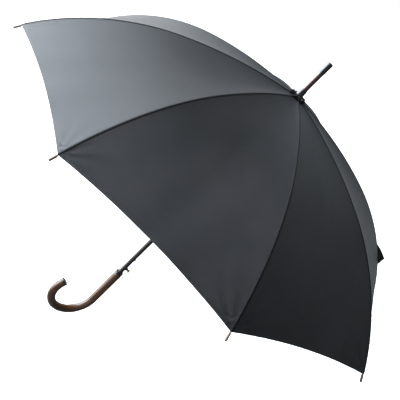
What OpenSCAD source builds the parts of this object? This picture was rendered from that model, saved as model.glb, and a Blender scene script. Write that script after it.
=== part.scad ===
// Automatic stick umbrella with eight ribs, shown open and upright.
// Origin: on the shaft's axis, half way down the straight part of the grip.
// +Z runs up the shaft to the ferrule, and the crook hooks towards +X.
// Ribs are numbered anticlockwise as seen from above, and rib 1 stands at +22.5 degrees.

/* [Canopy] */
// Height of the cloth's crown above the origin
crown_height = 630; // [600:1:660]
// Slope of the cloth at the crown, in degrees below level
crown_slope = 5; // [4:0.5:6]
// Slope of the cloth over the knee of a rib
knee_slope = 20; // [18:0.5:22]
// Slope of the cloth at the hem
hem_slope = 53.5; // [50:0.5:56]
// Length of cloth from the crown to the knee, along a rib
inner_arc = 260; // [255:1:265]
// Length of cloth from the knee to the hem, along a rib
outer_arc = 318; // [300:1:330]
// Thickness of the cloth
cloth_t = 0.6; // [0.6:0.1:1]
// How far the hem curves up between two ribs, along the cloth
hem_dip = 11; // [0:1:20]

/* [Ribs and stretchers] */
// Depth of the rib's centre line under the cloth
rib_drop = 2.8; // [2.8:0.1:3.2]
// Width of the folded steel channel of a rib
channel_w = 2.6; // [2.4:0.1:2.6]
// Height of that channel
channel_h = 3; // [2.6:0.1:3]
// Steel thickness of the channels
sheet_t = 0.5; // [0.4:0.1:0.6]
// Diameter of the springy outer rod of a rib
rod_d = 2.6; // [2.4:0.1:2.6]
// Diameter of the wooden rib tips
tip_d = 5; // [4:0.5:6]
// Length of the wooden rib tips
tip_len = 16; // [12:1:20]
// Distance from the crown to the stretcher joint, along the cloth
joint_arc = 250; // [246:1:250]
// Diameter of the rivet in the stretcher joint
rivet_d = 1.6; // [1.2:0.1:1.8]
// Length of the fork of a stretcher
fork_len = 24; // [24:1:30]

/* [Shaft] */
// Outer diameter of the shaft
shaft_d = 11; // [10:0.5:11]
// Wall thickness of the shaft
shaft_wall = 0.6; // [0.5:0.1:0.7]
// Radius of the ring of pivots in the top notch and in the runner
pivot_r = 11; // [11:0.5:12]
// Diameter of the ring wires that the ribs and stretchers hang on
ring_wire_d = 1; // [0.8:0.1:1.1]
// Length of the runner's sleeve below its crown
sleeve_len = 50; // [46:1:54]
// Turns of the opening spring
spring_turns = 50; // [40:1:60]
// Diameter of the opening spring's wire
spring_wire_d = 1; // [0.8:0.1:1.2]
// How far the shaft reaches down into the grip
shaft_in_grip = 84; // [70:1:90]

/* [Ferrule] */
// Diameter of the brown ferrule tube
ferrule_d = 12; // [11:0.5:12.5]
// Height of the ferrule's end above the crown
ferrule_top = 93; // [85:1:105]
// Length of the black tip
ferrule_tip_len = 27; // [20:1:30]
// Height of the cone over the crown
cone_h = 19; // [15:1:24]

/* [Handle] */
// Diameter of the wooden grip
grip_d = 19; // [18:0.5:20]
// Length of the straight part of the grip
grip_len = 98; // [90:1:110]
// Bend radius of the crook's centre line
crook_r = 54; // [45:1:60]
// Sweep of the crook in degrees
crook_sweep = 206; // [180:1:215]
// Height of the collar at the top of the grip
collar_h = 5; // [4:1:12]
// Height of the push button above the grip
button_rise = 22.5; // [20:0.5:25]
// Diameter of the push button's dome
button_d = 11; // [8:0.5:11.5]

/* [Hidden] */
RIB_COUNT = 8;
STEP = 360 / RIB_COUNT;
FIRST = STEP / 2;
FIT = 0.03;
RUN = 0.08;
GAP = 0.4;
$fn = 48;

// Cloth profile in the plane of a rib, as [distance from the axis, height under the crown]
rho_in = inner_arc / (knee_slope - crown_slope) * 180 / PI;
rho_out = outer_arc / (hem_slope - knee_slope) * 180 / PI;
centre_in = -rho_in * [sin(crown_slope), cos(crown_slope)];
knee = centre_in + rho_in * [sin(knee_slope), cos(knee_slope)];
centre_out = knee - rho_out * [sin(knee_slope), cos(knee_slope)];
function inner_point(slope, off = 0) = centre_in + (rho_in + off) * [sin(slope), cos(slope)];
function outer_point(slope, off = 0) = centre_out + (rho_out + off) * [sin(slope), cos(slope)];
function inner_slope(arc) = crown_slope + arc / rho_in * 180 / PI;
function outer_slope(arc) = knee_slope + arc / rho_out * 180 / PI;

// Linkage: the rib from the notch to its joint and the stretcher have the same length, so
// the runner's pivots stay in line with the notch's pivots all the way
notch_slope = asin((pivot_r - centre_in[0]) / (rho_in - rib_drop));
notch_pivot = inner_point(notch_slope, -rib_drop);
joint_slope = inner_slope(joint_arc);
mid_pivot = inner_point(joint_slope, -rib_drop);
link_slope = atan2(notch_pivot[1] - mid_pivot[1], mid_pivot[0] - notch_pivot[0]);
link = norm(mid_pivot - notch_pivot);
runner_pivot = [pivot_r, notch_pivot[1] - 2 * link * sin(link_slope)];
knee_pivot = inner_point(knee_slope, -rib_drop);

shaft_r = shaft_d / 2;
bore_r = shaft_r - shaft_wall;
grip_r = grip_d / 2;
grip_top = grip_len / 2;
runner_z = crown_height + runner_pivot[1];
notch_z = crown_height + notch_pivot[1];
shaft_bottom = grip_top - shaft_in_grip;
shaft_top = crown_height - 0.5;
button_z = grip_top + button_rise;
tooth_z = button_z + 32;
drive_z = runner_z - 20;
wire_r = ring_wire_d / 2;
eye_r = 1.5;
eye_w = 2.4;
eye_hole_r = wire_r + 0.15;
slot_w = 3.2;
crown_r = 13;
spigot_len = 14;
collar_r = grip_r - 0.3;
button_at = 135;
slot_at = 225;

// ---------- helpers ----------

// Puts a part drawn in the XZ plane, with heights measured from the crown, at rib i
module at_rib(i) {
    rotate([0, 0, FIRST + (i - 1) * STEP]) translate([0, 0, crown_height]) children();
}

// Sweeps a flat profile along an arc in the XZ plane, between two slopes
module along_arc(centre, radius, from_slope, to_slope) {
    translate([centre[0], 0, centre[1]]) rotate([90, 0, 0]) rotate([0, 0, 90 - to_slope])
        rotate_extrude(angle = to_slope - from_slope) translate([radius, 0]) children();
}

// A round bar across the rib's plane
module cross_bar(at, r, width) {
    translate([at[0], 0, at[1]]) rotate([90, 0, 0]) cylinder(r = r, h = width, center = true);
}

module ring(r_out, r_in, z_low, z_high) {
    rotate_extrude() translate([r_in, z_low]) square([r_out - r_in, z_high - z_low]);
}

// Closed solid between two grids of points of the same size
module shell(top, under) {
    rows = len(top);
    cols = len(top[0]);
    n = rows * cols;
    points = concat([for (row = top) each row], [for (row = under) each row]);
    cells = [for (r = [0 : rows - 2], c = [0 : cols - 2]) r * cols + c];
    rim = concat(
        [for (c = [0 : cols - 2]) [c, c + 1]],
        [for (r = [0 : rows - 2]) [r * cols + cols - 1, (r + 1) * cols + cols - 1]],
        [for (c = [0 : cols - 2]) [n - 1 - c, n - 2 - c]],
        [for (r = [0 : rows - 2]) [(rows - 1 - r) * cols, (rows - 2 - r) * cols]]
    );
    faces = concat(
        [for (k = cells) each [[k, k + 1, k + cols + 1], [k, k + cols + 1, k + cols]]],
        [for (k = cells) each [[n + k, n + k + cols + 1, n + k + 1],
                               [n + k, n + k + cols, n + k + cols + 1]]],
        [for (e = rim) each [[e[0], e[0] + n, e[1] + n], [e[0], e[1] + n, e[1]]]]
    );
    polyhedron(points = points, faces = faces);
}

// A wire of four flat sides wound round the Z axis from z_low to z_high
module coil(r, wire_d, turns, z_low, z_high, per_turn = 8) {
    steps = turns * per_turn;
    half = wire_d / 2;
    corners = [[half, 0], [0, half], [-half, 0], [0, -half]];
    points = [for (k = [0 : steps], c = corners)
        let (a = k * 360 / per_turn, z = z_low + (z_high - z_low) * k / steps)
        [(r + c[0]) * cos(a), (r + c[0]) * sin(a), z + c[1]]];
    last = steps * 4;
    sides = [for (k = [0 : steps - 1], c = [0 : 3])
        let (p = k * 4 + c, q = k * 4 + (c + 1) % 4)
        each [[p, q + 4, q], [p, p + 4, q + 4]]];
    polyhedron(points = points, faces = concat(
        sides, [[0, 1, 2], [0, 2, 3]], [[last, last + 2, last + 1], [last, last + 3, last + 2]]));
}

// ---------- shaft, crown and runner ----------

module shaft_tube() {
    boss_r = 4.2;
    boss_len = 2;
    slot_top = runner_z + 2;
    slot_bottom = drive_z - 2 * link + 2 * link * sin(link_slope) - 4;
    color("#3a2a20") difference() {
        union() {
            ring(shaft_r, bore_r, shaft_bottom, shaft_top);
            rotate([0, 0, button_at]) translate([shaft_r - 1, 0, button_z]) rotate([0, 90, 0])
                cylinder(r = boss_r, h = boss_len + 1);
        }
        cylinder(r = bore_r, h = 2 * crown_height, center = true);
        // hole for the button's stem, and a window for the catch's tooth
        rotate([0, 0, button_at]) {
            translate([1, 0, button_z]) rotate([0, 90, 0]) cylinder(r = 3.1, h = 19);
            translate([1, -1.8, tooth_z - 3]) cube([19, 3.6, 6]);
        }
        // slot in which the drive pin of the runner slides, a quarter turn from the button
        rotate([0, 0, slot_at]) translate([2, -1.2, slot_bottom])
            cube([8, 2.4, slot_top - slot_bottom]);
    }
}

module ferrule() {
    color("#7a4a28") rotate_extrude() polygon([
        [0, crown_height - spigot_len],
        [bore_r - FIT, crown_height - spigot_len],
        [bore_r - FIT, crown_height - 0.3],
        [ferrule_d / 2, crown_height - 0.3],
        [ferrule_d / 2, crown_height + ferrule_top - ferrule_tip_len],
        [3, crown_height + ferrule_top - ferrule_tip_len],
        [3, crown_height + ferrule_top - 10],
        [0, crown_height + ferrule_top - 10]
    ]);
}

module ferrule_tip() {
    r = ferrule_d / 2 + 0.4;
    round_r = 2.5;
    low = crown_height + ferrule_top - ferrule_tip_len + 0.05;
    high = crown_height + ferrule_top;
    color("#151515") difference() {
        rotate_extrude() union() {
            translate([0, low]) square([r, high - low - round_r]);
            translate([0, high - round_r - 0.01]) square([r - round_r, round_r + 0.01]);
            intersection() {
                translate([r - round_r, high - round_r]) circle(r = round_r);
                translate([0, high - round_r - 0.01]) square([r, round_r + 0.01]);
            }
        }
        translate([0, 0, low - 1])
            cylinder(r = 3 + FIT, h = crown_height + ferrule_top - 10 + FIT - low + 1);
    }
}

module canopy_cap() {
    base_r = 9;
    tip_r = ferrule_d / 2 + 0.7;
    low = crown_height + 1.4;
    color("#1b1b1d") {
        // stiff cone that grips the ferrule
        rotate_extrude() polygon([
            [ferrule_d / 2 + FIT, low],
            [base_r, low],
            [base_r - 0.4, low + 2],
            [tip_r, low + cone_h],
            [ferrule_d / 2 + FIT, low + cone_h]
        ]);
        // cloth washer between the cone and the canopy
        ring(15, ferrule_d / 2 + 0.3, crown_height + 0.3, crown_height + 1.1);
    }
}

// Disc with a groove for a ring wire and a slot for each rib or stretcher
module slotted_crown(pivot_z, z_low, z_high, hole_r) {
    groove_h = ring_wire_d + 0.3;
    difference() {
        ring(crown_r, hole_r, z_low, z_high);
        ring(crown_r + 1, pivot_r - wire_r - 0.1, pivot_z - groove_h / 2, pivot_z + groove_h / 2);
        for (i = [0 : RIB_COUNT - 1]) rotate([0, 0, FIRST + i * STEP])
            translate([pivot_r - eye_r - 0.8, -slot_w / 2, z_low - 1])
                cube([8, slot_w, z_high - z_low + 2]);
    }
    translate([0, 0, pivot_z]) rotate_extrude() translate([pivot_r, 0]) circle(r = wire_r);
}

module top_notch() {
    color("#2a2a2c") {
        slotted_crown(notch_z, notch_z - 4.5, crown_height - 1.2, shaft_r + FIT);
        ring(shaft_r + 2, shaft_r + FIT, notch_z - 16, notch_z - 4.5);
    }
}

module runner() {
    // a cut at the bottom of the sleeve lets the catch's tooth in
    color("#242426") {
        difference() {
            union() {
                slotted_crown(runner_z, runner_z - 4, runner_z + 4, shaft_r + RUN);
                ring(shaft_r + 2, shaft_r + RUN, runner_z - 4 - sleeve_len, runner_z - 4);
                ring(shaft_r + 3.2, shaft_r + RUN, runner_z - 4 - sleeve_len, runner_z - sleeve_len + 3);
            }
            rotate([0, 0, button_at]) translate([1, -2.2, runner_z - 5 - sleeve_len])
                cube([19, 4.4, 16]);
            rotate([0, 0, slot_at]) translate([0, 0, drive_z]) rotate([0, 90, 0])
                cylinder(r = 0.9 + FIT, h = 20);
        }
        // piston and pin that join the sleeve to the opening spring inside the shaft
        translate([0, 0, drive_z - 3]) cylinder(r = bore_r - 0.2, h = 6);
        rotate([0, 0, slot_at]) translate([0, 0, drive_z]) rotate([0, 90, 0])
            cylinder(r = 0.9, h = shaft_r + 1.8);
    }
}

// Long tension spring that pulls the runner up the shaft when the catch lets go
module main_spring() {
    color("#8c8c90") coil(bore_r - 0.9, spring_wire_d, spring_turns,
        drive_z + 3 + spring_wire_d, crown_height - spigot_len - spring_wire_d);
}

// ---------- catch ----------

module push_button() {
    dome_base = shaft_r + 6.3;
    dome_r = 6.6;
    stem_r = 3;
    leaf_x = bore_r - 1.3;
    leaf_t = 0.8;
    tooth_out = shaft_r + 1.7;
    color("#c9a24a") rotate([0, 0, button_at]) {
        translate([dome_base, 0, button_z]) rotate([0, 90, 0]) rotate_extrude()
            intersection() {
                translate([0, -3]) circle(r = dome_r, $fn = 64);
                square([button_d / 2, dome_r]);
            }
        translate([leaf_x, 0, button_z]) rotate([0, 90, 0])
            cylinder(r = stem_r, h = dome_base - leaf_x + 0.5);
        // leaf inside the shaft that carries the catch's tooth
        translate([leaf_x - leaf_t, -1.5, button_z - 4]) cube([leaf_t, 3, tooth_z - button_z + 6]);
        translate([leaf_x - 0.2, -1.5, tooth_z - 2]) cube([tooth_out - leaf_x + 0.2, 3, 4]);
    }
}

module latch_spring() {
    color("#9a9a9e") rotate([0, 0, button_at]) translate([0, 0, button_z]) rotate([0, 90, 0])
        coil(1.6, 0.5, 4, 1 - bore_r, bore_r - 2.3);
}

// ---------- handle ----------

module crook_handle() {
    color("#6b3d1e") {
        difference() {
            translate([0, 0, -grip_top]) cylinder(r = grip_r, h = grip_len);
            translate([0, 0, shaft_bottom - 1]) cylinder(r = shaft_r + FIT, h = 2 * grip_len);
        }
        translate([crook_r, 0, -grip_top]) rotate([90, 0, 0]) rotate([0, 0, 180])
            rotate_extrude(angle = crook_sweep) translate([crook_r, 0]) circle(r = grip_r);
    }
}

module handle_collar() {
    color("#1d1a18") ring(collar_r, shaft_r + FIT, grip_top + 0.02, grip_top + collar_h);
}

module crook_end_cap() {
    cap_len = 5;
    color("#241a14") translate([crook_r, 0, -grip_top]) rotate([0, -crook_sweep, 0])
        translate([-crook_r, 0, -0.02]) mirror([0, 0, 1]) rotate_extrude() intersection() {
            translate([0, -20]) circle(r = 20 + cap_len);
            square([grip_r + 0.2, cap_len]);
        }
}

// ---------- ribs and stretchers ----------

module rib_inner(i) {
    mid_r = rho_in - rib_drop;
    ear_out = channel_w / 2 + 0.2 + 0.7;
    color("#6a6a6e") at_rib(i) difference() {
        union() {
            along_arc(centre_in, mid_r, inner_slope(13), knee_slope - 0.02) difference() {
                square([channel_h, channel_w], center = true);
                translate([-sheet_t, 0])
                    square([channel_h, channel_w - 2 * sheet_t], center = true);
            }
            cross_bar(notch_pivot, eye_r, eye_w);
            along_arc(centre_in, mid_r, notch_slope, inner_slope(14))
                square([1.6, eye_w], center = true);
            cross_bar(mid_pivot, rivet_d / 2, 2 * ear_out + 1);
            for (s = [-1, 1]) translate([0, s * (ear_out + 0.3), 0])
                cross_bar(mid_pivot, rivet_d / 2 + 0.5, 0.4);
        }
        cross_bar(notch_pivot, eye_hole_r, 2 * eye_w);
    }
}

module rib_outer(i) {
    tongue_w = channel_w - 2 * sheet_t - 0.3;
    rod_end = 8;
    color("#2c2c2e") at_rib(i) {
        cross_bar(knee_pivot, 0.9, tongue_w);
        translate([knee_pivot[0], 0, knee_pivot[1]]) rotate([0, knee_slope, 0])
            translate([0, -tongue_w / 2, -0.9]) cube([1.8, tongue_w, 1.8]);
        along_arc(centre_out, rho_out - rib_drop, outer_slope(1.2), outer_slope(outer_arc + rod_end))
            circle(d = rod_d);
    }
}

module rib_tip(i) {
    start = outer_point(outer_slope(outer_arc + 0.6), -rib_drop);
    r = tip_d / 2;
    color("#8a5226") at_rib(i) translate([start[0], 0, start[1]])
        rotate([0, 90 + outer_slope(outer_arc + 4), 0]) difference() {
            union() {
                cylinder(r = r * 0.8, h = 2);
                translate([0, 0, 1.5]) cylinder(r = r, h = tip_len - 1.5 - r);
                translate([0, 0, tip_len - r]) sphere(r = r);
            }
            translate([0, 0, -1]) cylinder(d = rod_d + 0.12, h = 9.5);
        }
}

module stretcher(i) {
    ear_t = 0.7;
    ear_gap = channel_w + 0.4;
    ear_r = 1.6;
    h = 2.6;
    color("#58585c") at_rib(i) translate([runner_pivot[0], 0, runner_pivot[1]])
        rotate([0, -link_slope, 0]) difference() {
            union() {
                rotate([90, 0, 0]) cylinder(r = eye_r, h = eye_w, center = true);
                translate([0, -eye_w / 2, -0.8]) cube([6, eye_w, 1.6]);
                translate([3, -eye_w / 2, -h / 2]) difference() {
                    cube([link - fork_len - 4, eye_w, h]);
                    translate([2, sheet_t, -1]) cube([link, eye_w - 2 * sheet_t, h + 1 - sheet_t]);
                }
                translate([link - fork_len - 4, -ear_gap / 2 - ear_t, -h / 2])
                    cube([4, ear_gap + 2 * ear_t, h]);
                for (s = [-1, 1]) translate([0, s * (ear_gap + ear_t) / 2, 0]) {
                    translate([link - fork_len - 1, -ear_t / 2, -h / 2])
                        cube([fork_len + 1, ear_t, h]);
                    translate([link, 0, 0]) rotate([90, 0, 0])
                        cylinder(r = ear_r, h = ear_t, center = true);
                }
            }
            rotate([90, 0, 0]) cylinder(r = eye_hole_r, h = 2 * eye_w, center = true);
            translate([link, 0, 0]) rotate([90, 0, 0])
                cylinder(r = rivet_d / 2 + 0.06, h = 10, center = true);
        }
}

// ---------- canopy ----------

// Point of the cloth beside a rib: along is 0 at the knee side's start and 1 at its end,
// across is 0 on the rib and 1 half way to the next rib, and side is -1 or 1
function cloth_point(profile, across, side) =
    [profile[0] * (1 - abs(across) / 2 * (1 - cos(STEP))),
     side * profile[0] * abs(across) / 2 * sin(STEP),
     profile[1]];

function edge_limit(profile) = 1 - GAP / 2 / (profile[0] * sin(STEP / 2));

ACROSS = [-1, -2 / 3, -1 / 3, 0, 1 / 3, 2 / 3, 1];

function inner_grid(off, steps) = [for (k = [0 : steps])
    let (slope = inner_slope(15.5 + (inner_arc - GAP / 2 - 15.5) * k / steps),
         profile = inner_point(slope, off))
    [for (w = ACROSS) cloth_point(profile, abs(w) * edge_limit(profile), sign(w))]];

function outer_grid(off, steps) = [for (k = [0 : steps]) [for (w = ACROSS)
    let (dip = hem_dip * abs(w) * (2 - abs(w)),
         slope = outer_slope(GAP / 2 + (outer_arc - dip - GAP / 2) * k / steps),
         profile = outer_point(slope, off))
    cloth_point(profile, abs(w) * edge_limit(profile), sign(w))]];

module canopy_inner(i) {
    color("#2b2b2f") at_rib(i) shell(inner_grid(0, 6), inner_grid(-cloth_t, 6));
}

module canopy_outer(i) {
    color("#2b2b2f") at_rib(i) {
        shell(outer_grid(0, 10), outer_grid(-cloth_t, 10));
        if (i == 4) tie_strap();
    }
}

// Furling strap in the frame of rib 4: sewn flat on the cloth beside the rib at its root,
// and twisted up on edge at its free end
module tie_strap() {
    root = [389.5, 43, -143.5];
    free_end = [449.5, 15.5, -166];
    root_across = [-0.38, 0.92, 0];
    end_across = [0.25, 0.29, 0.93];
    off_cloth = [0.62, 0.31, 0.72];
    strap_w = 22;
    strap_t = 1;
    bow = 4;
    steps = 10;
    along = (free_end - root) / norm(free_end - root);
    rows = [for (k = [0 : steps]) let (
        u = k / steps,
        middle = root + (free_end - root) * u + off_cloth * bow * sin(180 * u),
        blend = root_across * (1 - u) + end_across * u,
        across = blend / norm(blend),
        face = cross(along, across) / norm(cross(along, across)))
        [middle, across * strap_w / 2, face * strap_t / 2]];
    shell([for (row = rows) [for (w = [-1, 0, 1]) row[0] + w * row[1] + row[2]]],
          [for (row = rows) [for (w = [-1, 0, 1]) row[0] + w * row[1] - row[2]]]);
}

// ---------- nodes ----------

shaft_tube();
ferrule();
ferrule_tip();
canopy_cap();
top_notch();
runner();
main_spring();
push_button();
latch_spring();
crook_handle();
handle_collar();
crook_end_cap();
for (i = [1 : RIB_COUNT]) {
    rib_inner(i);
    rib_outer(i);
    rib_tip(i);
    stretcher(i);
    canopy_inner(i);
    canopy_outer(i);
}
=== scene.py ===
"""Looks of the stick umbrella: its cloth, seams, wood, metal and plastic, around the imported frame."""
import math

import bpy
import numpy as np
from mathutils import Matrix, Vector


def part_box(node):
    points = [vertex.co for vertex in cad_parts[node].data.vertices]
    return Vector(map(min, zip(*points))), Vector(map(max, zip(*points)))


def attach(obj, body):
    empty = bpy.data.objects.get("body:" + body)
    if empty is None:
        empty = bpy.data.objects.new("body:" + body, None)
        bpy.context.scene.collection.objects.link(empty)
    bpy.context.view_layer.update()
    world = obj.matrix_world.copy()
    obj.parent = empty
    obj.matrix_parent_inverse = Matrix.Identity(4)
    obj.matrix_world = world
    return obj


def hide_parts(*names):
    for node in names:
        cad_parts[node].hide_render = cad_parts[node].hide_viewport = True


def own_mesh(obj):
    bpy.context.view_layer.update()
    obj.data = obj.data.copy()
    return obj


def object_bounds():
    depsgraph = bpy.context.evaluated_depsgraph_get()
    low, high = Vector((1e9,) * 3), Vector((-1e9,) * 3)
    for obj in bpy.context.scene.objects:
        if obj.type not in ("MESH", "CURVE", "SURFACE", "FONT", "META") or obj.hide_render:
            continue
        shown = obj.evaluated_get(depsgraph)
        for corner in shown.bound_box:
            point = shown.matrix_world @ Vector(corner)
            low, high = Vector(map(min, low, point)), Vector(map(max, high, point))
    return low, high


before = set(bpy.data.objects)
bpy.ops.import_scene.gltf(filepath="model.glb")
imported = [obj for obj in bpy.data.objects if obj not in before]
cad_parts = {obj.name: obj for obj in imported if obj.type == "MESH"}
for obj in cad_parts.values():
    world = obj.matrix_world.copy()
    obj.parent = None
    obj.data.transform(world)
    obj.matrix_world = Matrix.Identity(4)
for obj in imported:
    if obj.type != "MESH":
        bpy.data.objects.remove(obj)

cad_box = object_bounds()

# ---------- sizes, in metres and radians ----------

RIBS = 8
STEP = math.radians(45.0)
FIRST = math.radians(22.5)
CROWN_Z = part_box("canopy_cap")[0][2] - 0.0003

CROWN_SLOPE = math.radians(5.0)
KNEE_SLOPE = math.radians(20.0)
HEM_SLOPE = math.radians(53.5)
INNER_ARC = 0.260
OUTER_ARC = 0.318
HEM_ARC = INNER_ARC + OUTER_ARC
RHO_IN = INNER_ARC / (KNEE_SLOPE - CROWN_SLOPE)
RHO_OUT = OUTER_ARC / (HEM_SLOPE - KNEE_SLOPE)

CLOTH_T = 0.0004
SEAM_T = 0.0012
STITCH = 0.0032
HEM_DIP = 0.011
HEM_FOLD = 0.009
SAG = 0.008
CROWN_HOLE = 0.0155
RINGS_IN = [CROWN_HOLE, 0.040, 0.075, 0.125, 0.185, INNER_ARC]
RINGS_OUT = [INNER_ARC, 0.335, 0.410, 0.490, HEM_ARC]
CELL = 0.007

rng = np.random.default_rng(7)


# ---------- material helpers ----------

def new_material(name):
    """A material with its node tree emptied down to a Principled shader and the output."""
    mat = bpy.data.materials.new(name)
    mat.use_nodes = True
    return mat, mat.node_tree.nodes, mat.node_tree.links, mat.node_tree.nodes["Principled BSDF"]


def math_node(nodes, links, operation, a, b=None):
    """A Math node whose inputs are sockets or numbers; gives its output."""
    node = nodes.new("ShaderNodeMath")
    node.operation = operation
    for index, value in enumerate((a, b)):
        if value is None:
            continue
        if isinstance(value, (int, float)):
            node.inputs[index].default_value = value
        else:
            links.new(value, node.inputs[index])
    return node.outputs[0]


def ramp(nodes, links, factor, stops):
    """A colour ramp over factor; stops are (place, (r, g, b))."""
    node = nodes.new("ShaderNodeValToRGB")
    elements = node.color_ramp.elements
    while len(elements) < len(stops):
        elements.new(0.5)
    for element, (place, colour) in zip(elements, stops):
        element.position = place
        element.color = (*colour, 1.0)
    links.new(factor, node.inputs[0])
    return node.outputs[0]


def noise(nodes, links, vector, scale, detail=3.0, roughness=0.5):
    node = nodes.new("ShaderNodeTexNoise")
    node.inputs["Scale"].default_value = scale
    node.inputs["Detail"].default_value = detail
    node.inputs["Roughness"].default_value = roughness
    links.new(vector, node.inputs["Vector"])
    return node.outputs["Fac"]


def bump(nodes, links, shader, height, strength, distance):
    node = nodes.new("ShaderNodeBump")
    node.inputs["Strength"].default_value = strength
    node.inputs["Distance"].default_value = distance
    links.new(height, node.inputs["Height"])
    links.new(node.outputs[0], shader.inputs["Normal"])


def stretched(nodes, links, source, scale):
    """source, as a vector multiplied by scale on each axis."""
    node = nodes.new("ShaderNodeMapping")
    node.inputs["Scale"].default_value = scale
    links.new(source, node.inputs["Vector"])
    return node.outputs[0]


# ---------- materials ----------

def cloth_material(name, tone=1.0, stitches=None, gloss=0.40):
    """Black satin polyester. UV is in metres: across from the seam, and along the rib.
    stitches is (place across, length, half width) of a row of thread, or None."""
    mat, nodes, links, shader = new_material(name)
    coords = nodes.new("ShaderNodeTexCoord")
    uv = coords.outputs["UV"]
    split = nodes.new("ShaderNodeSeparateXYZ")
    links.new(uv, split.inputs[0])
    across, along = split.outputs[0], split.outputs[1]

    threads = 2 * math.pi / 0.0009
    warp = math_node(nodes, links, "SINE", math_node(nodes, links, "MULTIPLY", across, threads))
    weft = math_node(nodes, links, "SINE", math_node(nodes, links, "MULTIPLY", along, threads))
    weave = math_node(nodes, links, "MULTIPLY", warp, weft)

    clouds = noise(nodes, links, coords.outputs["Object"], 9.0, 4.0)
    slubs = noise(nodes, links, stretched(nodes, links, uv, (900.0, 60.0, 1.0)), 1.0, 2.0)
    mixed = math_node(nodes, links, "ADD", math_node(nodes, links, "MULTIPLY", clouds, 0.7),
                      math_node(nodes, links, "MULTIPLY", slubs, 0.3))
    dark = tuple(tone * c for c in (0.0036, 0.0031, 0.0034))
    pale = tuple(tone * c for c in (0.0110, 0.0095, 0.0104))
    links.new(ramp(nodes, links, mixed, [(0.38, dark), (0.62, pale)]), shader.inputs["Base Color"])

    rough = math_node(nodes, links, "ADD", math_node(nodes, links, "MULTIPLY", clouds, 0.10), 0.33)
    links.new(rough, shader.inputs["Roughness"])
    shader.inputs["Specular IOR Level"].default_value = gloss
    shader.inputs["Specular Tint"].default_value = (0.90, 0.93, 1.0, 1.0)
    shader.inputs["Sheen Weight"].default_value = 0.05
    shader.inputs["Sheen Roughness"].default_value = 0.35
    shader.inputs["Sheen Tint"].default_value = (0.78, 0.88, 1.0, 1.0)

    creases = noise(nodes, links, stretched(nodes, links, coords.outputs["Object"],
                                            (1.0, 1.0, 0.6)), 26.0, 5.0, 0.55)
    height = math_node(nodes, links, "ADD", math_node(nodes, links, "MULTIPLY", weave, 0.22),
                       math_node(nodes, links, "MULTIPLY", creases, 1.0))
    if stitches:
        place, length, half = stitches
        off = math_node(nodes, links, "ABSOLUTE", math_node(
            nodes, links, "SUBTRACT", math_node(nodes, links, "ABSOLUTE", across), place))
        near = math_node(nodes, links, "LESS_THAN", off, half)
        phase = math_node(nodes, links, "FRACT", math_node(nodes, links, "DIVIDE", along, length))
        dash = math_node(nodes, links, "GREATER_THAN", phase, 0.28)
        thread = math_node(nodes, links, "MULTIPLY", near, dash)
        height = math_node(nodes, links, "ADD", height,
                           math_node(nodes, links, "MULTIPLY", thread, 1.4))
    bump(nodes, links, shader, height, 0.5, 0.0009)
    return mat


def wood_material(name, dark, mid, pale, gloss=0.7):
    """Lacquered wood with streaks along V of the UV map, which is in metres."""
    mat, nodes, links, shader = new_material(name)
    coords = nodes.new("ShaderNodeTexCoord")
    source = coords.outputs["UV"]
    streaks = noise(nodes, links, stretched(nodes, links, source, (260.0, 14.0, 1.0)), 1.0, 6.0, 0.6)
    fibres = noise(nodes, links, stretched(nodes, links, source, (1500.0, 50.0, 1.0)), 1.0, 3.0)
    flow = math_node(nodes, links, "ADD", math_node(nodes, links, "MULTIPLY", streaks, 0.75),
                     math_node(nodes, links, "MULTIPLY", fibres, 0.25))
    links.new(ramp(nodes, links, flow, [(0.34, dark), (0.5, mid), (0.66, pale)]),
              shader.inputs["Base Color"])
    rough = math_node(nodes, links, "ADD", math_node(nodes, links, "MULTIPLY", fibres, 0.18), 0.26)
    links.new(rough, shader.inputs["Roughness"])
    shader.inputs["Coat Weight"].default_value = gloss
    shader.inputs["Coat Roughness"].default_value = 0.12
    bump(nodes, links, shader, flow, 0.25, 0.0003)
    return mat


def metal_material(name, colour, metallic, roughness, coat=0.0, brush=(30.0, 30.0, 600.0)):
    """Metal with fine drawing lines and small changes of tone; brush is its grain's scale."""
    mat, nodes, links, shader = new_material(name)
    coords = nodes.new("ShaderNodeTexCoord")
    lines = noise(nodes, links, stretched(nodes, links, coords.outputs["Object"], brush), 1.0, 3.0)
    clouds = noise(nodes, links, coords.outputs["Object"], 60.0, 4.0)
    dark = tuple(0.75 * c for c in colour)
    pale = tuple(min(1.0, 1.25 * c) for c in colour)
    links.new(ramp(nodes, links, clouds, [(0.3, dark), (0.7, pale)]), shader.inputs["Base Color"])
    rough = math_node(nodes, links, "ADD", math_node(nodes, links, "MULTIPLY", lines, 0.16),
                      roughness - 0.08)
    links.new(rough, shader.inputs["Roughness"])
    shader.inputs["Metallic"].default_value = metallic
    shader.inputs["Coat Weight"].default_value = coat
    shader.inputs["Coat Roughness"].default_value = 0.08
    bump(nodes, links, shader, lines, 0.12, 0.0002)
    return mat


def plastic_material(name, colour, roughness, coat=0.0, grain=900.0):
    """Moulded plastic with a fine grain and slightly uneven gloss."""
    mat, nodes, links, shader = new_material(name)
    coords = nodes.new("ShaderNodeTexCoord")
    fine = noise(nodes, links, coords.outputs["Object"], grain, 2.0)
    clouds = noise(nodes, links, coords.outputs["Object"], 45.0, 4.0)
    dark = tuple(0.8 * c for c in colour)
    pale = tuple(1.3 * c for c in colour)
    links.new(ramp(nodes, links, clouds, [(0.35, dark), (0.65, pale)]), shader.inputs["Base Color"])
    rough = math_node(nodes, links, "ADD", math_node(nodes, links, "MULTIPLY", clouds, 0.2),
                      roughness - 0.1)
    links.new(rough, shader.inputs["Roughness"])
    shader.inputs["Coat Weight"].default_value = coat
    shader.inputs["Coat Roughness"].default_value = 0.1
    bump(nodes, links, shader, fine, 0.2, 0.0001)
    return mat


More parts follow.
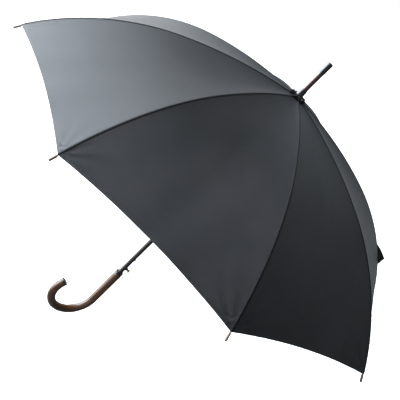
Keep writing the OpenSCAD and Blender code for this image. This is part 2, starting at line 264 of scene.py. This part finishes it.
SATIN = cloth_material("satin_cloth")
SEAM = cloth_material("seam_cloth", tone=0.3, stitches=(0.0011, STITCH, 0.00035), gloss=0.14)
STRAP = cloth_material("strap_cloth", tone=0.35, stitches=(0.0, 0.0035, 0.0004), gloss=0.2)
FRILL = cloth_material("frill_cloth", tone=0.6)
WOOD = wood_material("crook_wood", (0.018, 0.006, 0.002), (0.072, 0.027, 0.009),
                     (0.170, 0.074, 0.026), 0.2)
TIP_WOOD = wood_material("tip_wood", (0.040, 0.018, 0.010), (0.090, 0.042, 0.024),
                         (0.150, 0.080, 0.050), 0.8)
SHAFT = metal_material("brown_shaft", (0.030, 0.020, 0.018), 0.4, 0.34, 0.2)
FERRULE = metal_material("brown_ferrule", (0.070, 0.028, 0.024), 0.5, 0.14, 0.9)
STEEL = metal_material("black_steel", (0.030, 0.030, 0.033), 0.7, 0.42, 0.2, (400.0, 400.0, 400.0))
SPRING = metal_material("spring_wire", (0.45, 0.45, 0.47), 1.0, 0.3)
BRASS = metal_material("brass", (0.80, 0.58, 0.22), 1.0, 0.24, 0.2, (500.0, 500.0, 500.0))
GLOSS = plastic_material("gloss_black", (0.006, 0.006, 0.007), 0.16, 0.3)
MATTE = plastic_material("matte_black", (0.014, 0.014, 0.015), 0.48)
ROD = plastic_material("black_rod", (0.014, 0.014, 0.014), 0.34, 0.3)


def repaint(node, material):
    """Gives a CAD node one material."""
    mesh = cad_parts[node].data
    mesh.materials.clear()
    mesh.materials.append(material)


# ---------- mesh helpers ----------

def make_object(name, verts, faces, uvs, normals, material):
    """Mesh object from points, faces, and a UV and a normal for each corner of each face."""
    mesh = bpy.data.meshes.new(name)
    mesh.from_pydata([tuple(v) for v in verts], [], faces)
    layer = mesh.uv_layers.new(name="UVMap")
    layer.data.foreach_set("uv", np.asarray(uvs, float).ravel())
    mesh.polygons.foreach_set("use_smooth", [True] * len(mesh.polygons))
    mesh.validate()
    if normals is not None:
        mesh.normals_split_custom_set([tuple(n) for n in normals])
    mesh.update()
    mesh.materials.append(material)
    obj = bpy.data.objects.new(name, mesh)
    bpy.context.scene.collection.objects.link(obj)
    return obj


def shell(name, top, under, normal, uv, material):
    """Closed thin solid between two grids of points. normal and uv are grids for the top."""
    rows, cols = top.shape[:2]
    count = rows * cols
    verts = np.concatenate([top.reshape(-1, 3), under.reshape(-1, 3)])
    flat_n = normal.reshape(-1, 3)
    flat_uv = np.concatenate([uv.reshape(-1, 2)] * 2)
    faces, corner_uv, corner_n = [], [], []

    def add(face, normals):
        faces.append(face)
        corner_uv.extend(flat_uv[k] for k in face)
        corner_n.extend(normals)

    for r in range(rows - 1):
        for c in range(cols - 1):
            k = r * cols + c
            face = (k, k + 1, k + cols + 1, k + cols)
            add(face, [flat_n[q] for q in face])
            back = tuple(count + q for q in reversed(face))
            add(back, [-flat_n[q] for q in reversed(face)])
    rim = [(c, c + 1) for c in range(cols - 1)]
    rim += [((r + 1) * cols - 1, (r + 2) * cols - 1) for r in range(rows - 1)]
    rim += [(count - 1 - c, count - 2 - c) for c in range(cols - 1)]
    rim += [((rows - 1 - r) * cols, (rows - 2 - r) * cols) for r in range(rows - 1)]
    for a, b in rim:
        face = (b, a, a + count, b + count)
        edge = verts[a] - verts[b]
        side = np.cross(edge, verts[a + count] - verts[a])
        length = np.linalg.norm(side)
        side = side / length if length > 1e-12 else flat_n[a]
        add(face, [side] * 4)
    if np.dot(np.cross(verts[1] - verts[0], verts[cols] - verts[0]), flat_n[0]) < 0:
        flipped, pairs = [], []
        start = 0
        for face in faces:
            span = list(range(start, start + len(face)))[::-1]
            flipped.append(tuple(reversed(face)))
            pairs.extend(span)
            start += len(face)
        faces = flipped
        corner_uv = [corner_uv[k] for k in pairs]
        corner_n = [corner_n[k] for k in pairs]
    return make_object(name, verts, faces, corner_uv, corner_n, material)


# ---------- cloth surface ----------

def profile(arc):
    """Distance from the shaft's axis, height under the crown and slope, at an arc length."""
    arc = np.asarray(arc, float)
    inner = CROWN_SLOPE + np.minimum(arc, INNER_ARC) / RHO_IN
    outer = KNEE_SLOPE + np.maximum(arc - INNER_ARC, 0.0) / RHO_OUT
    r = RHO_IN * (np.sin(inner) - math.sin(CROWN_SLOPE))
    z = RHO_IN * (np.cos(inner) - math.cos(CROWN_SLOPE))
    r = r + RHO_OUT * (np.sin(outer) - math.sin(KNEE_SLOPE))
    z = z + RHO_OUT * (np.cos(outer) - math.cos(KNEE_SLOPE))
    return r, z, np.where(arc > INNER_ARC, outer, inner)


PHASE = rng.uniform(0, 2 * math.pi, (RIBS, 6))


def ripple(gore, t, arc, half):
    """Small waves of the cloth, along its normal: billows, pull lines and puckered seams."""
    u = np.clip(arc / HEM_ARC, 0.0, 1.05)
    free = 4 * t * (1 - t)
    p, q = PHASE[gore % RIBS], PHASE[(gore + 1) % RIBS]
    billow = 0.0012 * free * np.sin(2.2 * math.pi * u + p[0]) * np.sin(math.pi * u)
    pulls = 0.00055 * free * u ** 3 * np.sin(2 * math.pi * (3.5 * t + 1.3 * u) + p[1])
    edge = 0.0008 * free * u ** 14 * np.sin(2 * math.pi * 2.5 * t + p[2])
    d0, d1 = t * 2 * half, (1 - t) * 2 * half
    pucker = np.sin(arc * 2 * math.pi / 0.013 + p[3]) * np.exp(-d0 / 0.007)
    pucker = pucker + np.sin(arc * 2 * math.pi / 0.013 + q[3]) * np.exp(-d1 / 0.007)
    # folds that fan out of the two corners where the cloth is sewn to the tips
    fan = 0.0
    for d in (d0, d1):
        away = np.hypot(d, HEM_ARC - arc)
        angle = np.arctan2(d, np.maximum(HEM_ARC - arc, 1e-4))
        fan = fan + np.sin(angle * 11 + p[4]) * np.exp(-away / 0.045) * np.minimum(away / 0.01, 1.0)
    return billow + pulls + edge + 0.00022 * pucker * u + 0.0006 * fan * np.minimum(1, free * 12)


def raw_surface(gore, t, arc):
    """Points of the cloth between rib gore and rib gore + 1, t from 0 to 1 between them."""
    t, arc = np.broadcast_arrays(np.asarray(t, float), np.asarray(arc, float))
    share = arc / HEM_ARC
    arc = arc * (1 - HEM_DIP / HEM_ARC * 4 * t * (1 - t) * share ** 3)
    r, z, slope = profile(arc)
    a0 = FIRST + gore * STEP
    a1 = a0 + STEP
    x = r * (math.cos(a0) * (1 - t) + math.cos(a1) * t)
    y = r * (math.sin(a0) * (1 - t) + math.sin(a1) * t)
    mid = (a0 + a1) / 2
    out = np.stack([np.sin(slope) * math.cos(mid), np.sin(slope) * math.sin(mid), np.cos(slope)], -1)
    sag = SAG * 4 * t * (1 - t) * np.sin(math.pi * np.clip(share, 0, 1)) ** 0.8
    lift = ripple(gore, t, arc, r * math.sin(STEP / 2)) - sag
    return np.stack([x, y, z + CROWN_Z], -1) + out * lift[..., None]


def surface(gore, t, arc):
    """(points, normals pointing out of the dome)"""
    e_t, e_a = 1e-3, 1e-4
    along = raw_surface(gore, t, arc + e_a) - raw_surface(gore, t, arc - e_a)
    across = raw_surface(gore, t + e_t, arc) - raw_surface(gore, t - e_t, arc)
    normal = np.cross(along, across)
    normal /= np.linalg.norm(normal, axis=-1, keepdims=True)
    return raw_surface(gore, t, arc), normal


def cloth_piece(rib, side, arc0, arc1, name, body, node, hem):
    """Half a gore's ring beside one rib, parented to that rib's body so that it moves with the rib."""
    gore = (rib - 1) % RIBS if side > 0 else (rib - 2) % RIBS
    r_mid = profile((arc0 + arc1) / 2)[0]
    half = r_mid * math.sin(STEP / 2)
    rows = max(3, round((arc1 - arc0) / CELL))
    cols = max(4, round(half / CELL))
    arcs = np.linspace(arc0, arc1, rows + 1)
    w = np.linspace(0, 1, cols + 1) ** 1.15
    if hem:
        # the cloth is turned under at the hem, as one continuous sheet
        fold = np.linspace(HEM_ARC, HEM_ARC - HEM_FOLD, 4)
        arcs = np.concatenate([arcs, fold])
        drop = np.concatenate([np.zeros(rows + 1), [0.0009, 0.0010, 0.0010, 0.0008]])
    else:
        drop = np.zeros(rows + 1)
    t = w / 2 if side > 0 else 1 - w / 2
    points, normals = surface(gore, t[None, :], arcs[:, None])
    points = points - normals * drop[:, None, None]
    if hem:
        normals[rows + 1:] *= -1
    under = points - normals * CLOTH_T
    lateral = w[None, :] * (profile(arcs)[0] * math.sin(STEP / 2))[:, None]
    uv = np.stack([lateral + gore, np.broadcast_to(arcs[:, None], lateral.shape)], -1)
    obj = shell(name, points, under, normals, uv, SATIN)

    line = points[[0, rows], 0]
    along = (line[1] - line[0]) / np.linalg.norm(line[1] - line[0])
    anchor = (line[0] + line[1]) / 2
    edge = points[:rows + 1, -1].mean(axis=0) - anchor
    edge = edge - np.dot(edge, along) * along
    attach(obj, body)
    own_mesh(obj)
    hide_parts(node)
    return obj


def make_canopy():
    """Sixteen half gores, each in rings that ride on the inner or the outer ribs."""
    for rib in range(1, RIBS + 1):
        for side, word in ((1, "left"), (-1, "right")):
            for k, (a, b) in enumerate(zip(RINGS_IN, RINGS_IN[1:])):
                cloth_piece(rib, side, a, b, f"cloth_{rib}_{word}_{k + 1}",
                            f"rib_inner_{rib}", f"canopy_inner_{rib}", False)
            for k, (a, b) in enumerate(zip(RINGS_OUT, RINGS_OUT[1:])):
                cloth_piece(rib, side, a, b, f"cloth_{rib}_{word}_{k + 6}",
                            f"rib_outer_{rib}", f"canopy_outer_{rib}", b == HEM_ARC)


def seam_strip(rib, arc0, arc1, name, body):
    """Felled seam over a rib: a low welt with two rows of stitches."""
    rows = round((arc1 - arc0) / 0.0035)
    arcs = np.linspace(arc0, arc1, rows + 1)
    offsets = np.array([-0.0026, -0.0023, -0.0012, 0.0, 0.0012, 0.0023, 0.0026])
    heights = np.array([0.00002, 0.00042, 0.00058, 0.00050, 0.00058, 0.00042, 0.00002])
    grid, normals = [], []
    for offset, height in zip(offsets, heights):
        gore = (rib - 1) % RIBS if offset >= 0 else (rib - 2) % RIBS
        chord = 2 * profile(arcs)[0] * math.sin(STEP / 2)
        t = np.abs(offset) / chord
        t = t if offset >= 0 else 1 - t
        p, n = surface(gore, t, arcs)
        wave = 1 + 0.35 * np.sin(arcs * math.pi / STITCH + rib)
        grid.append(p + n * (height * wave)[:, None])
        normals.append(n)
    top = np.stack(grid, 1)
    normal = np.stack(normals, 1)
    mean = (normal[:, 2] + normal[:, 4]) / 2
    normal[:, 3] = mean / np.linalg.norm(mean, axis=-1, keepdims=True)
    lean = np.gradient(top, axis=1)
    run = np.gradient(top, axis=0)
    facing = np.cross(run, lean)
    facing /= np.linalg.norm(facing, axis=-1, keepdims=True)
    facing *= np.sign((facing * normal).sum(-1, keepdims=True))
    under = top - normal * SEAM_T
    uv = np.stack([np.broadcast_to(offsets, top.shape[:2]),
                   np.broadcast_to(arcs[:, None], top.shape[:2])], -1)
    obj = shell(name, top, under, facing, uv, SEAM)
    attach(obj, body)
    return obj


def make_seams():
    """One seam over each rib, in two lengths that part at the knee."""
    for rib in range(1, RIBS + 1):
        seam_strip(rib, CROWN_HOLE, INNER_ARC, f"seam_inner_{rib}", f"rib_inner_{rib}")
        seam_strip(rib, INNER_ARC, HEM_ARC - 0.001, f"seam_outer_{rib}", f"rib_outer_{rib}")


def make_rosette():
    """Gathered frill of frayed cloth round the foot of the cone."""
    for layer, (reach, lift, waves) in enumerate(((0.0195, 0.0014, 13), (0.0165, 0.0032, 11))):
        around, out = 144, 10
        angle = np.linspace(0, 2 * math.pi, around + 1)
        fray = rng.uniform(-0.0016, 0.0016, around)
        fray = np.append(fray, fray[0])
        share = np.linspace(0, 1, out + 1)
        radius = 0.0052 + share[:, None] * (reach - 0.0052 + fray[None, :])
        wave = np.sin(waves * angle + layer) + 0.6 * np.sin((2 * waves - 3) * angle + 2 * layer)
        height = lift + 0.0016 * share[:, None] ** 1.5 * wave[None, :] + 0.0012 * layer
        height = height - 0.06 * (radius - 0.0052)
        top = np.stack([radius * np.cos(angle), radius * np.sin(angle), CROWN_Z + height], -1)
        run = np.gradient(top, axis=0)
        turn = np.gradient(top, axis=1)
        normal = np.cross(run, turn)
        normal /= np.linalg.norm(normal, axis=-1, keepdims=True)
        uv = np.stack([np.broadcast_to(angle * 0.015, radius.shape), radius], -1)
        obj = shell(f"crown_frill_{layer + 1}", top, top - normal * 0.0004, normal, uv, FRILL)
        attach(obj, "root")


# ---------- handle ----------

def make_handle():
    """Crook swept along its centre line, so that its grain follows the bend."""
    low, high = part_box("crook_handle")
    grip_r = (high[1] - low[1]) / 2
    grip_top = high[2]
    straight = 2 * grip_top
    bend = 0.054
    sweep = math.radians(206)
    around = 48
    steps_straight, steps_bend = 40, 110
    stations = []
    for k in range(steps_straight + 1):
        s = straight * k / steps_straight
        stations.append((Vector((0, 0, grip_top - s)), Vector((1, 0, 0)), s))
    for k in range(1, steps_bend + 1):
        a = sweep * k / steps_bend
        centre = Vector((bend - bend * math.cos(a), 0, grip_top - straight - bend * math.sin(a)))
        stations.append((centre, Vector((math.cos(a), 0, math.sin(a))), straight + bend * a))
    verts, uv = [], []
    edge_round = 0.0018
    for centre, inward, s in stations:
        # the end of the grip is rounded over where the collar sits
        into = max(0.0, edge_round - s)
        r = grip_r - edge_round + math.sqrt(max(0.0, edge_round ** 2 - into ** 2))
        # hand-turned wood is never quite even
        r = r * (1 - 0.006 * (0.5 + 0.5 * math.sin(s * 38)))
        for j in range(around):
            a = 2 * math.pi * j / around
            verts.append(centre + inward * (r * math.cos(a)) + Vector((0, r * math.sin(a), 0)))
            uv.append((grip_r * a, s))
    faces, corner_uv = [], []
    for k in range(len(stations) - 1):
        for j in range(around):
            a, b = k * around + j, k * around + (j + 1) % around
            faces.append((a, a + around, b + around, b))
            wrap = 2 * math.pi * grip_r if j == around - 1 else 0.0
            corner_uv += [uv[a], uv[a + around], (uv[b + around][0] + wrap, uv[b + around][1]),
                          (uv[b][0] + wrap, uv[b][1])]
    for ring, order in ((0, 1), (len(stations) - 1, -1)):
        face = tuple(ring * around + j for j in range(around))[::order]
        faces.append(face)
        corner_uv += [(verts[k].x * 0.2, verts[k].y) for k in face]
    obj = make_object("crook", verts, faces, corner_uv, None, WOOD)
    obj.data.polygons[-1].use_smooth = False
    obj.data.polygons[-2].use_smooth = False
    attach(obj, "root")
    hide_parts("crook_handle")


# ---------- strap ----------

def make_strap():
    """Furling strap sewn flat on the cloth beside rib 4, twisted up on edge at its free end."""
    turn = FIRST + 3 * STEP
    axes = np.array([(math.cos(turn), math.sin(turn), 0), (-math.sin(turn), math.cos(turn), 0),
                     (0, 0, 1)])
    root = np.array((0.3895, 0.043, -0.1435))
    free_end = np.array((0.4510, 0.0165, -0.1655))
    root_across = np.array((-0.38, 0.92, 0))
    end_across = np.array((0.25, 0.29, 0.93))
    off_cloth = np.array((0.62, 0.31, 0.72))
    width = 0.022
    share = np.linspace(0, 1, 37)[:, None]
    middle = root + (free_end - root) * share + off_cloth * 0.004 * np.sin(math.pi * share)
    across = root_across * (1 - share) + end_across * share
    across /= np.linalg.norm(across, axis=1, keepdims=True)
    face = np.cross((free_end - root) / np.linalg.norm(free_end - root), across)
    face /= np.linalg.norm(face, axis=1, keepdims=True)
    w = np.linspace(-1, 1, 13)
    # two edges bound with tape, and a gentle cup and wave in between
    cup = 0.0010 * w ** 2 + 0.0004 * np.sin(9 * share + 2 * w)
    top = middle[:, None] + across[:, None] * (w * width / 2)[None, :, None]
    top = top + face[:, None] * cup[..., None]
    top = top @ axes + np.array((0, 0, CROWN_Z))
    normals = np.cross(np.gradient(top, axis=0), np.gradient(top, axis=1))
    normals /= np.linalg.norm(normals, axis=-1, keepdims=True)
    length = float(np.linalg.norm(np.diff(middle, axis=0), axis=1).sum())
    uv = np.stack([np.broadcast_to(np.abs(w) * width / 2 - width / 2 + 0.0035, top.shape[:2]),
                   np.broadcast_to(share * length, top.shape[:2])], -1)
    obj = shell("tie_strap", top, top - normals * 0.0011, normals, uv, STRAP)
    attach(obj, "rib_outer_4")
    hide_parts("canopy_outer_4")


# ---------- carried-over parts ----------

def repaint_parts():
    """Gives every CAD node that stays visible its material."""
    for rib in range(1, RIBS + 1):
        repaint(f"rib_inner_{rib}", STEEL)
        repaint(f"stretcher_{rib}", STEEL)
        repaint(f"rib_outer_{rib}", ROD)
        repaint(f"rib_tip_{rib}", TIP_WOOD)
    for node, material in (("shaft_tube", SHAFT), ("ferrule", FERRULE), ("ferrule_tip", GLOSS),
                           ("canopy_cap", GLOSS), ("top_notch", MATTE), ("runner", MATTE),
                           ("main_spring", SPRING), ("latch_spring", SPRING),
                           ("handle_collar", GLOSS), ("crook_end_cap", GLOSS),
                           ("push_button", BRASS)):
        repaint(node, material)


# ---------- stage ----------

def make_camera():
    """Camera 21 degrees above the umbrella's level, rolled so that its shaft leans over."""
    azimuth, elevation, roll = math.radians(45.22), math.radians(21.32), math.radians(45.54)
    distance, across, up = 1.4763, -0.1978, -0.2092
    back = Vector((math.cos(azimuth) * math.cos(elevation),
                   math.sin(azimuth) * math.cos(elevation), math.sin(elevation)))
    right = Vector((0, 0, 1)).cross(back).normalized()
    high = back.cross(right)
    r2 = math.cos(roll) * right + math.sin(roll) * high
    u2 = -math.sin(roll) * right + math.cos(roll) * high
    place = Vector((0, 0, CROWN_Z)) + across * r2 + up * u2 + distance * back
    data = bpy.data.cameras.new("camera")
    data.sensor_width = 36.0
    data.lens = 65.61
    cam = bpy.data.objects.new("camera", data)
    axes = Matrix((r2, u2, back)).transposed().to_4x4()
    cam.matrix_world = Matrix.Translation(place) @ axes
    bpy.context.scene.collection.objects.link(cam)
    bpy.context.scene.camera = cam
    return r2, u2, back


def area_light(name, direction, distance, size, power, colour=(1, 1, 1)):
    """Soft box that shines on the middle of the canopy from a direction."""
    data = bpy.data.lights.new(name, "AREA")
    data.shape = "SQUARE"
    data.size = size
    data.energy = power
    data.color = colour
    lamp = bpy.data.objects.new(name, data)
    direction = Vector(direction).normalized()
    lamp.location = Vector((0, 0, 0.45)) + direction * distance
    lamp.rotation_euler = direction.to_track_quat("Z", "Y").to_euler()
    bpy.context.scene.collection.objects.link(lamp)


def make_world(towards):
    """Soft surroundings, bright from the direction towards and dark away from it.
    levels gives the brightness by the cosine to that direction. The camera sees plain white."""
    levels = [(-1.0, 0.12), (-0.3, 0.45), (-0.05, 0.45), (0.15, 0.28), (0.33, 0.16),
              (0.49, 0.5), (0.66, 2.4), (0.83, 8.5), (1.0, 15.0)]
    brightest = levels[-1][1]
    world = bpy.data.worlds.new("world")
    world.use_nodes = True
    nodes, links = world.node_tree.nodes, world.node_tree.links
    soft = nodes["Background"]
    soft.inputs[1].default_value = brightest
    place = nodes.new("ShaderNodeTexCoord")
    dot = nodes.new("ShaderNodeVectorMath")
    dot.operation = "DOT_PRODUCT"
    dot.inputs[1].default_value = tuple(Vector(towards).normalized())
    links.new(place.outputs["Generated"], dot.inputs[0])
    share = math_node(nodes, links, "MULTIPLY",
                      math_node(nodes, links, "ADD", dot.outputs["Value"], 1.0), 0.5)
    stops = [((d + 1) / 2, (0.87 * v / brightest, 0.95 * v / brightest, v / brightest))
             for d, v in levels]
    links.new(ramp(nodes, links, share, stops), soft.inputs[0])
    white = nodes.new("ShaderNodeBackground")
    white.inputs[0].default_value = (1, 1, 1, 1)
    seen = nodes.new("ShaderNodeLightPath")
    mix = nodes.new("ShaderNodeMixShader")
    links.new(seen.outputs["Is Camera Ray"], mix.inputs[0])
    links.new(soft.outputs[0], mix.inputs[1])
    links.new(white.outputs[0], mix.inputs[2])
    links.new(mix.outputs[0], nodes["World Output"].inputs[0])
    bpy.context.scene.world = world
    bpy.context.scene.view_settings.view_transform = "Standard"


def make_floor():
    """Plain pale floor under the umbrella."""
    floor_z = cad_box[0][2] - 0.25
    half = 60.0
    mat, nodes, links, shader = new_material("pale_floor")
    shader.inputs["Base Color"].default_value = (0.9, 0.9, 0.9, 1)
    shader.inputs["Roughness"].default_value = 0.9
    shader.inputs["Emission Color"].default_value = (1, 1, 1, 1)
    shader.inputs["Emission Strength"].default_value = 0.8
    floor = make_object("floor", [(-half, -half, floor_z), (half, -half, floor_z),
                                  (half, half, floor_z), (-half, half, floor_z)],
                        [(0, 1, 2, 3)], [(0, 0), (1, 0), (1, 1), (0, 1)], None, mat)
    # the floor throws no light back on the object, as if black flags stood round it
    floor.visible_diffuse = False
    floor.visible_glossy = False


def make_stage(r2, u2, back):
    """Floor and lights, placed by the camera's right, up and backward directions."""
    make_world(-0.60 * r2 + 0.75 * u2 + 0.12 * back)
    make_floor()
    area_light("side", 0.95 * r2 - 0.1 * u2 - 0.1 * back, 2.4, 1.4, 0.8)
    area_light("rim", -0.1 * r2 + 0.6 * u2 - 0.8 * back, 2.2, 1.2, 6.5, (0.95, 0.98, 1.0))


make_canopy()
make_seams()
make_rosette()
make_handle()
make_strap()
repaint_parts()
make_stage(*make_camera())
